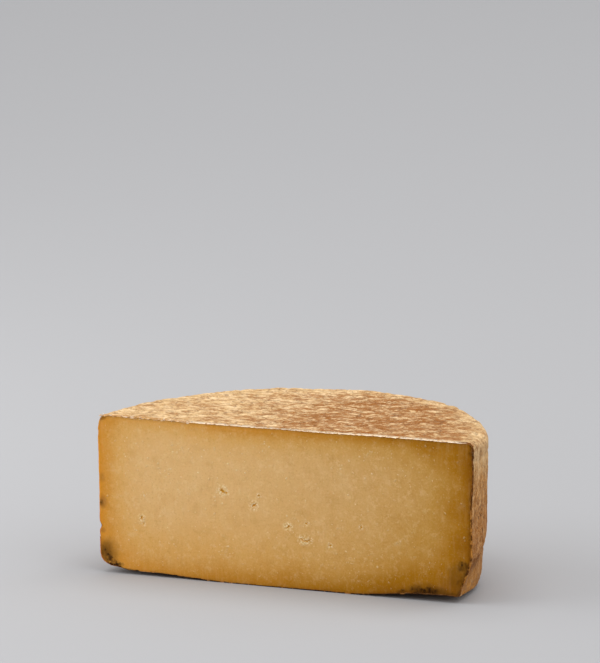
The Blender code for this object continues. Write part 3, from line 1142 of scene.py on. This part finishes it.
def make_cloth(name, inset, runs, low, high, relief, materials):
    """One piece of the wrapping: its part of the section turned round, thickened and crumpled."""
    piece = add_section(name, inset, inset, runs)
    pick(piece, "VERT", lambda v: not low < v.co.z < high)
    bpy.ops.mesh.delete(type="VERT")
    spin_half(CLOTH_SPIN_STEPS)
    bpy.ops.object.mode_set(mode="OBJECT")
    for material in materials:
        piece.data.materials.append(material)
    apply_modifier(
        piece, "SOLIDIFY", thickness=CLOTH_THICKNESS, offset=-1.0, use_even_offset=True,
        material_offset=INNER, material_offset_rim=EDGE,
    )
    bpy.ops.object.mode_set(mode="EDIT")

    def shows(face):
        """The outside and the cut edge, but not the flat underside."""
        middle = face.calc_center_median()
        at_cut = middle.y < NEAR_CUT
        if face.material_index == EDGE and not at_cut:
            face.material_index = OUTER
        return face.material_index != INNER and (middle.z > MM / 10 or at_cut)
    pick(piece, "FACE", shows)
    bpy.ops.mesh.subdivide(number_cuts=FINE_CUTS)
    bpy.ops.object.mode_set(mode="OBJECT")
    write_cloth_map(piece)

    inner = {
        index for face in piece.data.polygons if face.material_index == INNER
        for index in face.vertices
    }
    values = add_values(piece.data, "crease_shade", "rubbed_and_shaded", "weathered")
    for corner in piece.data.vertices:
        radius, angle, height = wheel_place(corner.co)
        at_cut = corner.co.y < CUT_Y + MM / 100
        is_inner = corner.index in inner
        bump_up, crease_shade = crinkle(corner.co)
        # Painted shade in creases and seams, the rubbed bloom with its painted shadow, and the weathering
        write_values(
            values, corner.index, max(crease_shade, seam_shade_at(angle, height)),
            rubbed_and_shaded_at(corner.co, radius, height), weathered_at(angle, height),
        )
        on_top = smooth(height, WHEEL_HEIGHT - TOP_SHOULDER, WHEEL_HEIGHT)
        bump_up *= 1 + MORE_CRINKLED_ON_TOP * on_top
        if is_inner:
            bump_up = 0.0
        if at_cut:
            ragged = ripple(corner.co, 2.5)
            bump_up = EDGE_CRINKLED * bump_up + EDGE_RAGGED[is_inner] * ragged
        up = bump_up + CRUST_RAISED * smooth(corner.co.y - CUT_Y, CRUST_RUNS_BACK, 0.0)
        if at_cut and is_inner:
            up -= crust_drop(corner.co)
        corner.co = settled(corner.co, relief(angle, height) + bump_up, up * on_top)
        if at_cut:
            corner.co.y = CUT_Y - rim_stands(corner.co, is_inner)
    finish_piece(piece)


def make_top_cap(materials):
    """The round of cloth on the top, folded down over the side."""
    def relief(angle, height):
        hanging = smooth(height, WHEEL_HEIGHT, WHEEL_HEIGHT - 2 * TOP_SHOULDER)
        return TOP_FOLD_DEPTH * fold(angle + TOP_FOLD_SHIFT) * loose(angle) * hanging

    make_cloth("top_cap", 0.0, TOP_CAP_RUNS, CAP_EDGE, math.inf, relief, materials)


def make_bandage(materials):
    """The strip of cloth round the side, its edges under the two caps."""
    def relief(angle, height):
        """Near the cut the strip lies flush with the caps, so that no step shows."""
        below_cap = smooth(height, CAP_EDGE, CAP_EDGE - BANDAGE_BLEND)
        above_hem = smooth(height, HEM_HEIGHT, HEM_HEIGHT + BANDAGE_BLEND)
        return (CLOTH_STEP - MM / 10) * (1 - loose(angle)) * below_cap * above_hem

    high = WHEEL_HEIGHT - BANDAGE_TUCK / 2
    make_cloth("bandage", CLOTH_STEP, BANDAGE_RUNS, BANDAGE_TUCK, high, relief, materials)


def make_base_cap(materials):
    """The round of cloth under the base, folded up over the side and gathered."""
    def relief(angle, height):
        return FOLD_DEPTH * fold(angle) * loose(angle) * smooth(height, 0.0, BASE_SHOULDER)

    make_cloth("base_cap", 0.0, BASE_CAP_RUNS, -math.inf, HEM_HEIGHT, relief, materials)


# -------------------- Crystals --------------------

# Where crystals lie in clusters, in mm along the cut and above the base
CRYSTAL_CLUSTERS = (
    (-122.7, 102.0), (54.5, 116.1), (61.9, 28.9), (85.4, 31.8), (94.1, 27.9), (112.9, 50.7),
    (139.8, 31.7), (77.4, 19.1), (102.4, 131.6), (139.2, 138.9), (112.9, 116.8), (82.0, 130.1),
    (127.1, 97.7), (-116.0, 102.5), (-140.0, 78.0), (15.0, 62.0), (-105.0, 120.0), (-95.0, 82.0),
    (-118.0, 62.0), (-60.0, 30.0), (20.0, 60.0), (-40.0, 104.0), (-150.0, 122.0), (-20.0, 130.0),
)
CRYSTAL_CLUSTER_SHARE = 0.28
CRYSTAL_CLUSTER_SPREAD = (4.0, 3.5)
CRYSTAL_LARGEST = 1.7
CRUMBS_AT_OPENING = 16

# Shreds of cloth, at the torn left end of the top and along the rest of it
FLAKES_TORN = 90
FLAKES_ALONG = 90
TORN_FROM = -183 * MM
TORN_TO = -92 * MM


def scatter_group(name, material):
    """Geometry nodes that put a small uneven grain on each point, sized and turned as it says."""
    tree = bpy.data.node_groups.new(name, "GeometryNodeTree")
    for way in ("INPUT", "OUTPUT"):
        tree.interface.new_socket("Geometry", in_out=way, socket_type="NodeSocketGeometry")
    points = tree.nodes.new("NodeGroupInput").outputs["Geometry"]
    result = tree.nodes.new("NodeGroupOutput").inputs["Geometry"]
    grain = add_node(tree, "GeometryNodeMeshIcoSphere", {"Radius": 1.0, "Subdivisions": 2})
    uneven = add_node(tree, "ShaderNodeTexNoise", {"Scale": 1.3, "Detail": 1.0})
    offset = vector_maths("SUBTRACT", uneven.outputs["Color"], (0.5, 0.5, 0.5))
    inputs = {"Geometry": grain.outputs["Mesh"], "Offset": offset}
    shaped = add_node(tree, "GeometryNodeSetPosition", inputs)
    size, turn = (
        add_node(tree, "GeometryNodeInputNamedAttribute", {"Name": label}, data_type="FLOAT_VECTOR")
        for label in ("size", "turn")
    )
    placed = add_node(tree, "GeometryNodeInstanceOnPoints", {
        "Points": points, "Instance": shaped.outputs["Geometry"],
        "Rotation": turn.outputs["Attribute"], "Scale": size.outputs["Attribute"],
    })
    real = add_node(tree, "GeometryNodeRealizeInstances", {"Geometry": placed.outputs["Instances"]})
    inputs = {"Geometry": real.outputs["Geometry"], "Material": material}
    give(result, add_node(tree, "GeometryNodeSetMaterial", inputs).outputs["Geometry"])
    return tree


def scatter(name, grains, material):
    """A piece made of many grains, each given as its place, size and turn."""
    data = bpy.data.meshes.new(name)
    data.from_pydata([grain[0] for grain in grains], [], [])
    for label in ("size", "turn"):
        data.attributes.new(label, "FLOAT_VECTOR", "POINT")
    values = add_values(data, "dryness", "age_and_falloff")
    for index, (place, size, turn) in enumerate(grains):
        data.attributes["size"].data[index].vector = size
        data.attributes["turn"].data[index].vector = turn
        write_values(values, index, dryness_at(place[0], place[2]), age_and_falloff_at(place[0], place[2]))
    piece = add_object(name, data)
    piece.data.materials.append(material)
    apply_modifier(piece, "NODES", node_group=scatter_group(name, material))
    return piece


def crystal_grains(count, size):
    """Crystals in the cut face: most anywhere, some in clusters, and fine crumbs at the openings."""
    draw = random.Random(11)
    grains = []

    def add_grain(x, z, reach):
        if opening_at(x, z)[1] > 0:
            return
        shape = (draw.uniform(0.5, 1.2), 0.3, draw.uniform(0.7, 1.7))
        place = (x, CUT_Y + face_relief(x, z), z)
        grains.append((place, [reach * side for side in shape], (0.0, draw.gauss(0, 0.7), 0.0)))

    while len(grains) < count:
        if draw.random() < CRYSTAL_CLUSTER_SHARE:
            centre_x, centre_z = draw.choice(CRYSTAL_CLUSTERS)
            x = (centre_x + draw.gauss(0, CRYSTAL_CLUSTER_SPREAD[0])) * MM
            z = (centre_z + draw.gauss(0, CRYSTAL_CLUSTER_SPREAD[1])) * MM
        else:
            x = draw.uniform(-WHEEL_RADIUS, WHEEL_RADIUS) * 0.96
            z = draw.uniform(8 * MM, WHEEL_HEIGHT - 4 * MM)
        add_grain(x, z, size * min(draw.lognormvariate(0, 0.4), CRYSTAL_LARGEST))
    for centre_x, centre_z, length, *rest in OPENINGS:
        for _ in range(CRUMBS_AT_OPENING):
            add_grain(
                centre_x + draw.gauss(0, 0.6) * length, centre_z + draw.gauss(0, 0.55) * length,
                size * draw.uniform(0.6, 1.2),
            )
    return grains


def flake_grains():
    """Shreds of cloth along the top of the cut: thick at its torn left end, few along the rest."""
    draw = random.Random(5)
    grains = []
    for torn in [True] * FLAKES_TORN + [False] * FLAKES_ALONG:
        x = draw.uniform(TORN_FROM, TORN_TO) if torn else draw.uniform(TORN_TO, WHEEL_RADIUS - 18 * MM)
        dip = swell(Vector((x, 0.0, WHEEL_HEIGHT)), TOP_DIP, TOP_DIP_WAVE)
        z = WHEEL_HEIGHT + dip + CRUST_RAISED + CLOTH_ON_TOP
        z -= draw.uniform(0.0, 2.2 * MM if torn else 1.6 * MM)
        length = draw.uniform(0.8, 2.6) if torn else draw.uniform(0.4, 1.3)
        size = (length * MM, draw.uniform(0.15, 0.3) * MM, draw.uniform(0.15, 0.38) * MM)
        place = (x, CUT_Y - draw.uniform(0.0, 0.5) * MM, z)
        grains.append((place, size, (0.0, draw.gauss(0, 0.35), draw.gauss(0, 0.2))))
    return grains


# -------------------- Stage --------------------

def make_floor(material):
    """A wide pale floor."""
    bpy.ops.object.select_all(action="DESELECT")
    bpy.ops.mesh.primitive_circle_add(vertices=96, radius=14.0, fill_type="NGON", location=(0, 0, 0))
    floor = bpy.context.object
    floor.name = "floor"
    bpy.ops.object.mode_set(mode="EDIT")
    bpy.ops.mesh.select_all(action="SELECT")
    bpy.ops.mesh.inset(thickness=6.0)
    bpy.ops.transform.translate(value=(0, 0, -0.1 * MM))
    bpy.ops.object.mode_set(mode="OBJECT")
    floor.data.materials.append(material)


def make_floor_material(colour):
    """Pale matt paper."""
    material, shader, place = new_material("floor_paper")
    darker = (*(0.985 * channel for channel in colour[:3]), 1.0)
    tinted = blend(darker, tuple(colour), patches(place, 1.2, 2))
    fill_in(shader, Base_Color=tinted, Roughness=1.0, Specular_IOR_Level=0.0)
    return material


def make_world(strength):
    """Even studio light from all round."""
    world = bpy.data.worlds.new("studio")
    world.use_nodes = True
    background = world.node_tree.nodes["Background"]
    background.inputs["Color"].default_value = (1.0, 1.0, 1.0, 1.0)
    background.inputs["Strength"].default_value = strength
    bpy.context.scene.world = world


def direction(azimuth, elevation):
    """Unit vector from the cheese towards a place round it, azimuth 0 being in front of the cut."""
    a, e = math.radians(azimuth), math.radians(elevation)
    return Vector((math.sin(a) * math.cos(e), -math.cos(a) * math.cos(e), math.sin(e)))


def add_light(name, kind, azimuth, elevation, energy, distance=0.0, **settings):
    """A soft light facing the cheese: an area light, or a sun, whose distance makes no difference."""
    light = bpy.data.lights.new(name, kind)
    light.energy = energy
    for label, value in settings.items():
        setattr(light, label, value)
    lamp = add_object(name, light)
    lamp.location = AXIS + direction(azimuth, elevation) * distance
    lamp.rotation_mode = "QUATERNION"
    lamp.rotation_quaternion = direction(azimuth, elevation).to_track_quat("Z", "Y")
    lamp.visible_camera = kind != "AREA"


def add_camera():
    """The camera at the height, distance and slight tilt of the photograph."""
    back = direction(CAMERA_AZIMUTH, CAMERA_ELEVATION)
    right = direction(CAMERA_AZIMUTH + 90, 0)
    level = Matrix((right, back.cross(right), back)).transposed()
    turn = Matrix.Rotation(math.radians(CAMERA_ROLL), 3, back) @ level
    target = AXIS + right * CAMERA_SIDE + Vector((0, 0, CAMERA_LOOKS_AT_HEIGHT))
    data = bpy.data.cameras.new("camera")
    data.lens = CAMERA_LENS
    data.sensor_width = CAMERA_SENSOR
    data.clip_end = 100.0
    camera = add_object("camera", data)
    camera.matrix_world = Matrix.Translation(target + back * CAMERA_DISTANCE) @ turn.to_4x4()
    bpy.context.scene.camera = camera


# -------------------- Settings --------------------

def colour_setting(name, red, green, blue, description):
    """A colour in the panel, its default given in display values."""
    return FloatVectorProperty(
        name=name.replace("_", " ").capitalize(), description=description, subtype="COLOR", size=4,
        min=0.0, max=1.0, default=srgb(red, green, blue),
    )


def light_setting(name, default, description, unit="NONE"):
    """The strength of a light in the panel."""
    return FloatProperty(name=name, description=description, default=default, min=0.0, unit=unit)


COLOURS = {
    # Paste: the bright colours of the left and the darker ones of the right differ partly by age and
    # partly by painted shade of the light falling off from left to right
    "paste_heart": (232, 190, 131, "Bright paste furthest from the rind"),
    "paste_inner": (225, 173, 98, "Bright paste on the way to the rind"),
    "paste_band": (216, 153, 65, "Bright paste near the rind"),
    "paste_rim": (218, 146, 47, "Bright paste against the rind"),
    "aged_heart": (215, 170, 106, "Darker paste furthest from the rind"),
    "aged_inner": (197, 148, 70, "Darker paste on the way to the rind"),
    "aged_band": (174, 117, 16, "Darker paste near the rind"),
    "aged_rim": (148, 92, 4, "Darker paste against the rind"),
    "paste_curd": (240, 204, 148, "Paler grains of curd"),
    "paste_opening": (212, 150, 42, "Inside of cracks and pits"),
    "mould": (108, 68, 12, "Mould at the corners of the cut"),
    "mould_dark": (52, 26, 2, "Darkest mould"),
    "mould_black": (20, 10, 2, "Black specks in the mould"),
    "cloth_top": (209, 174, 124, "Cloth on the top"),
    "cloth_high": (206, 148, 76, "Cloth high on the side"),
    "cloth_middle": (188, 126, 54, "Cloth half way up the side"),
    "cloth_low": (170, 112, 48, "Cloth near the base"),
    "cloth_weathered": (118, 74, 34, "Brown areas round the back"),
    "cloth_pale": (233, 202, 158, "Bloom and fibres on the cloth"),
    "cloth_rust": (138, 86, 38, "Blotches on the side of the cloth"),
    # Brown where the bloom is rubbed off, also laid on as a painted shadow on the top
    "cloth_rubbed": (146, 87, 28, "Where the bloom is rubbed off the top"),
    # Painted shade in the creases and along the seams, also used for the dark scuff by the right end of
    # the cut
    "cloth_crease": (104, 60, 22, "Bottoms of the creases in the cloth"),
    # Painted shade in the pits of the cloth
    "cloth_pit": (72, 42, 16, "Pits in the cloth"),
    "edge_top": (250, 228, 198, "Cut edge of the cloth along the top"),
    "edge_left_top": (226, 182, 124, "The same where it is torn"),
    # Bright orange cut edge at the left: partly its own colour, partly a painted glow of light through
    # the paste
    "edge_left": (238, 165, 56, "Cut edge of the cloth high at the left end"),
    "edge_left_low": (206, 116, 34, "The same nearer the base"),
    # Dark brown cut edge at the right end: partly dirt, partly painted shade
    "edge_right": (98, 58, 18, "Cut edge of the cloth at the right end"),
    "edge_right_low": (200, 138, 60, "Golden crumbs by the foot"),
    # Painted contact shadow under the cut edge along the base
    "edge_base": (46, 28, 16, "Cut edge of the cloth along the base"),
    "edge_crumb": (214, 150, 80, "Crumbs on the cut edge along the base"),
    "crystal_pale": (250, 226, 178, "The palest crystals"),
}


class CheddarColours(bpy.types.PropertyGroup):
    """Colours of the paste, the cloth and the crystals"""
    __annotations__ = {name: colour_setting(name, *rest) for name, rest in COLOURS.items()}


class CheddarCrystals(bpy.types.PropertyGroup):
    """How many crystals show in the cut, and their size"""
    count: IntProperty(name="Count", description="Crystals in the cut face", default=760, min=0, max=2000)
    size: FloatProperty(
        name="Size", description="Usual radius of a crystal", default=0.5 * MM, min=0.1 * MM,
        max=3 * MM, unit="LENGTH", precision=5,
    )


class CheddarStage(bpy.types.PropertyGroup):
    """The floor and the lights"""
    floor_colour: colour_setting("floor", 167, 167, 169, "Colour of the floor")
    sky_strength: light_setting("Even light", 0.579, "Strength of the light from all round")
    right_strength: light_setting("Right light", 1.358, "Strength of the wide light on the right")
    top_power: light_setting("Top light", 507.0, "Power of the wide light overhead", "POWER")
    left_power: light_setting("Left light", 29.8, "Power of the soft light on the left", "POWER")


# -------------------- Operators --------------------

class CHEDDAR_OT_paste(bpy.types.Operator):
    """Model the cheese itself, with its cut face, cracks and pits"""
    bl_idname = "cheddar.paste"
    bl_label = "Paste"
    bl_options = {"REGISTER", "UNDO"}

    def execute(self, context):
        make_paste("paste", make_paste_material(context.scene.cheddar_colours))
        return {"FINISHED"}


class CHEDDAR_OT_cloth(bpy.types.Operator):
    """Model the wrapping: a cap on the top, a bandage round the side and a pleated cap on the base"""
    bl_idname = "cheddar.cloth"
    bl_label = "Cloth"
    bl_options = {"REGISTER", "UNDO"}

    def execute(self, context):
        colours = context.scene.cheddar_colours
        edge = make_edge_material(colours)
        top = make_cloth_material("top_cloth", colours, rust=1.0, pits=0.04)
        side = make_cloth_material("side_cloth", colours, rust=0.55, pits=0.5)
        make_top_cap((top, top, edge))
        make_bandage((side, side, edge))
        make_base_cap((side, side, edge))
        flakes = scatter("cloth_flakes", flake_grains(), make_flake_material(colours))
        finish_piece(flakes, smooth_angle=80)
        return {"FINISHED"}


class CHEDDAR_OT_crystals(bpy.types.Operator):
    """Scatter crystals over the cut face"""
    bl_idname = "cheddar.crystals"
    bl_label = "Crystals"
    bl_options = {"REGISTER", "UNDO"}

    def execute(self, context):
        settings = context.scene.cheddar_crystals
        material = make_crystal_material(context.scene.cheddar_colours)
        piece = scatter("crystals", crystal_grains(settings.count, settings.size), material)
        finish_piece(piece, smooth_angle=80)
        return {"FINISHED"}


class CHEDDAR_OT_stage(bpy.types.Operator):
    """Lay the floor, and set the lights and the camera"""
    bl_idname = "cheddar.stage"
    bl_label = "Stage"
    bl_options = {"REGISTER", "UNDO"}

    def execute(self, context):
        settings = context.scene.cheddar_stage
        make_floor(make_floor_material(settings.floor_colour))
        make_world(settings.sky_strength)
        add_light("right_light", "SUN", 100, 30, settings.right_strength, angle=math.pi / 2)
        add_light("top_light", "AREA", 180, 85, settings.top_power, distance=9.0, size=8.0)
        add_light("left_light", "AREA", -75, 22, settings.left_power, distance=2.0, size=2.0)
        add_camera()
        context.scene.view_settings.view_transform = "Standard"
        return {"FINISHED"}


class CHEDDAR_PT_panel(bpy.types.Panel):
    """Buttons and settings for the half wheel"""
    bl_idname = "CHEDDAR_PT_panel"
    bl_label = "Clothbound Cheddar"
    bl_space_type = "VIEW_3D"
    bl_region_type = "UI"
    bl_category = "Cheddar"

    def draw(self, context):
        for step in STEPS:
            self.layout.operator(step.bl_idname)
        for name in SETTINGS:
            box = self.layout.box()
            group = getattr(context.scene, name)
            for label in group.bl_rna.properties.keys():
                if label not in ("rna_type", "name"):
                    box.prop(group, label)


SETTINGS = {
    "cheddar_colours": CheddarColours,
    "cheddar_crystals": CheddarCrystals,
    "cheddar_stage": CheddarStage,
}
STEPS = (CHEDDAR_OT_paste, CHEDDAR_OT_cloth, CHEDDAR_OT_crystals, CHEDDAR_OT_stage)


def register():
    for kind in (*SETTINGS.values(), *STEPS, CHEDDAR_PT_panel):
        bpy.utils.register_class(kind)
    for name, kind in SETTINGS.items():
        setattr(bpy.types.Scene, name, PointerProperty(type=kind))


def unregister():
    for name in SETTINGS:
        delattr(bpy.types.Scene, name)
    for kind in reversed((*SETTINGS.values(), *STEPS, CHEDDAR_PT_panel)):
        bpy.utils.unregister_class(kind)


def main():
    register()
    for step in STEPS:
        group, name = step.bl_idname.split(".")
        getattr(getattr(bpy.ops, group), name)()


if __name__ == "__main__":
    main()
